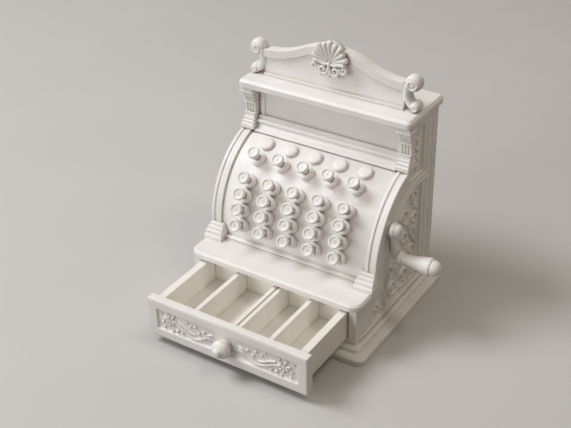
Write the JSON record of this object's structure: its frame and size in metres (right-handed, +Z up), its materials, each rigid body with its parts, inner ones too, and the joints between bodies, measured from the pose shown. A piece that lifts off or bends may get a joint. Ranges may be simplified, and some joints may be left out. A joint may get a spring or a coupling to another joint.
{
  "type": "miniature counter till",
  "caption": "Table-top miniature of an old counter till: stepped plinth, curved key bank, pull-out cash drawer, crank handle, capped case and a scrolled crest with a shell.",
  "frame": {"origin": "centre of the plinth's underside", "axes": "+Z up, +X to the right seen from the front, -Y to the front, the way the drawer opens"},
  "size_m": [0.0991, 0.1016, 0.1029],
  "materials": {
    "resin": "satin cast resin, warm white"
  },
  "bodies": {
    "case": {"arch_band_left": "resin", "arch_band_right": "resin", "back_panel": "resin", "bank_buttons": "resin", "bank_cornice": "resin", "bank_foot": "resin", "base_plinth": "resin", "cap_slab": "resin", "crest_board": "resin", "crest_scroll_left": "resin", "crest_scroll_right": "resin", "crest_shell": "resin", "drawer_runners": "resin", "foot_block_left": "resin", "foot_block_right": "resin", "front_sill": "resin", "header_panel": "resin", "key_bank": "resin", "ledge": "resin", "ledge_rail": "resin", "left_side": "resin", "pilaster_left": "resin", "pilaster_right": "resin", "right_side": "resin"},
    "drawer": {"drawer_back": "resin", "drawer_dividers": "resin", "drawer_floor": "resin", "drawer_front": "resin", "drawer_knob": "resin", "drawer_left_wall": "resin", "drawer_right_wall": "resin"},
    "crank": {"crank_axle": "resin", "crank_arm": "resin"},
    "grip": {"crank_grip": "resin"},
    "key_1_1": {"key_r1_c1": "resin"},
    "key_1_2": {"key_r1_c2": "resin"},
    "key_1_3": {"key_r1_c3": "resin"},
    "key_1_4": {"key_r1_c4": "resin"},
    "key_1_5": {"key_r1_c5": "resin"},
    "key_2_1": {"key_r2_c1": "resin"},
    "key_2_2": {"key_r2_c2": "resin"},
    "key_2_3": {"key_r2_c3": "resin"},
    "key_2_4": {"key_r2_c4": "resin"},
    "key_2_5": {"key_r2_c5": "resin"},
    "key_3_1": {"key_r3_c1": "resin"},
    "key_3_2": {"key_r3_c2": "resin"},
    "key_3_3": {"key_r3_c3": "resin"},
    "key_3_4": {"key_r3_c4": "resin"},
    "key_3_5": {"key_r3_c5": "resin"},
    "key_4_1": {"key_r4_c1": "resin"},
    "key_4_2": {"key_r4_c2": "resin"},
    "key_4_3": {"key_r4_c3": "resin"},
    "key_4_4": {"key_r4_c4": "resin"},
    "key_4_5": {"key_r4_c5": "resin"},
    "key_5_1": {"key_r5_c1": "resin"},
    "key_5_2": {"key_r5_c2": "resin"},
    "key_5_3": {"key_r5_c3": "resin"},
    "key_5_4": {"key_r5_c4": "resin"},
    "key_5_5": {"key_r5_c5": "resin"}
  },
  "joints": [
    {"name": "drawer_slide", "type": "slide", "parent": "case", "child": "drawer", "axis": [0, 1, 0], "range_m": [-0.0015, 0.026]},
    {"name": "crank_turn", "type": "hinge", "parent": "case", "child": "crank", "pos_m": [0.0374, -0.00568, 0.04417], "axis": [1, 0, 0], "continuous": true},
    {"name": "grip_spin", "type": "hinge", "parent": "crank", "child": "grip", "pos_m": [0.045, -0.00299, 0.03094], "axis": [1, 0, 0], "continuous": true},
    {"name": "press_1_1", "type": "slide", "parent": "case", "child": "key_1_1", "axis": [0, 0.6018, -0.7986], "range_m": [0, 0.0028], "stiffness_N_per_m": 40, "springref_m": -0.001},
    {"name": "press_1_2", "type": "slide", "parent": "case", "child": "key_1_2", "axis": [0, 0.6018, -0.7986], "range_m": [0, 0.0028], "stiffness_N_per_m": 40, "springref_m": -0.001},
    {"name": "press_1_3", "type": "slide", "parent": "case", "child": "key_1_3", "axis": [0, 0.6018, -0.7986], "range_m": [0, 0.0028], "stiffness_N_per_m": 40, "springref_m": -0.001},
    {"name": "press_1_4", "type": "slide", "parent": "case", "child": "key_1_4", "axis": [0, 0.6018, -0.7986], "range_m": [0, 0.0028], "stiffness_N_per_m": 40, "springref_m": -0.001},
    {"name": "press_1_5", "type": "slide", "parent": "case", "child": "key_1_5", "axis": [0, 0.6018, -0.7986], "range_m": [0, 0.0028], "stiffness_N_per_m": 40, "springref_m": -0.001},
    {"name": "press_2_1", "type": "slide", "parent": "case", "child": "key_2_1", "axis": [0, 0.7314, -0.682], "range_m": [0, 0.0028], "stiffness_N_per_m": 40, "springref_m": -0.001},
    {"name": "press_2_2", "type": "slide", "parent": "case", "child": "key_2_2", "axis": [0, 0.7314, -0.682], "range_m": [0, 0.0028], "stiffness_N_per_m": 40, "springref_m": -0.001},
    {"name": "press_2_3", "type": "slide", "parent": "case", "child": "key_2_3", "axis": [0, 0.7314, -0.682], "range_m": [0, 0.0028], "stiffness_N_per_m": 40, "springref_m": -0.001},
    {"name": "press_2_4", "type": "slide", "parent": "case", "child": "key_2_4", "axis": [0, 0.7314, -0.682], "range_m": [0, 0.0028], "stiffness_N_per_m": 40, "springref_m": -0.001},
    {"name": "press_2_5", "type": "slide", "parent": "case", "child": "key_2_5", "axis": [0, 0.7314, -0.682], "range_m": [0, 0.0028], "stiffness_N_per_m": 40, "springref_m": -0.001},
    {"name": "press_3_1", "type": "slide", "parent": "case", "child": "key_3_1", "axis": [0, 0.7986, -0.6018], "range_m": [0, 0.0028], "stiffness_N_per_m": 40, "springref_m": -0.001},
    {"name": "press_3_2", "type": "slide", "parent": "case", "child": "key_3_2", "axis": [0, 0.7986, -0.6018], "range_m": [0, 0.0028], "stiffness_N_per_m": 40, "springref_m": -0.001},
    {"name": "press_3_3", "type": "slide", "parent": "case", "child": "key_3_3", "axis": [0, 0.7986, -0.6018], "range_m": [0, 0.0028], "stiffness_N_per_m": 40, "springref_m": -0.001},
    {"name": "press_3_4", "type": "slide", "parent": "case", "child": "key_3_4", "axis": [0, 0.7986, -0.6018], "range_m": [0, 0.0028], "stiffness_N_per_m": 40, "springref_m": -0.001},
    {"name": "press_3_5", "type": "slide", "parent": "case", "child": "key_3_5", "axis": [0, 0.7986, -0.6018], "range_m": [0, 0.0028], "stiffness_N_per_m": 40, "springref_m": -0.001},
    {"name": "press_4_1", "type": "slide", "parent": "case", "child": "key_4_1", "axis": [0, 0.8572, -0.515], "range_m": [0, 0.0028], "stiffness_N_per_m": 40, "springref_m": -0.001},
    {"name": "press_4_2", "type": "slide", "parent": "case", "child": "key_4_2", "axis": [0, 0.8572, -0.515], "range_m": [0, 0.0028], "stiffness_N_per_m": 40, "springref_m": -0.001},
    {"name": "press_4_3", "type": "slide", "parent": "case", "child": "key_4_3", "axis": [0, 0.8572, -0.515], "range_m": [0, 0.0028], "stiffness_N_per_m": 40, "springref_m": -0.001},
    {"name": "press_4_4", "type": "slide", "parent": "case", "child": "key_4_4", "axis": [0, 0.8572, -0.515], "range_m": [0, 0.0028], "stiffness_N_per_m": 40, "springref_m": -0.001},
    {"name": "press_4_5", "type": "slide", "parent": "case", "child": "key_4_5", "axis": [0, 0.8572, -0.515], "range_m": [0, 0.0028], "stiffness_N_per_m": 40, "springref_m": -0.001},
    {"name": "press_5_1", "type": "slide", "parent": "case", "child": "key_5_1", "axis": [0, 0.8988, -0.4384], "range_m": [0, 0.0028], "stiffness_N_per_m": 40, "springref_m": -0.001},
    {"name": "press_5_2", "type": "slide", "parent": "case", "child": "key_5_2", "axis": [0, 0.8988, -0.4384], "range_m": [0, 0.0028], "stiffness_N_per_m": 40, "springref_m": -0.001},
    {"name": "press_5_3", "type": "slide", "parent": "case", "child": "key_5_3", "axis": [0, 0.8988, -0.4384], "range_m": [0, 0.0028], "stiffness_N_per_m": 40, "springref_m": -0.001},
    {"name": "press_5_4", "type": "slide", "parent": "case", "child": "key_5_4", "axis": [0, 0.8988, -0.4384], "range_m": [0, 0.0028], "stiffness_N_per_m": 40, "springref_m": -0.001},
    {"name": "press_5_5", "type": "slide", "parent": "case", "child": "key_5_5", "axis": [0, 0.8988, -0.4384], "range_m": [0, 0.0028], "stiffness_N_per_m": 40, "springref_m": -0.001}
  ]
}
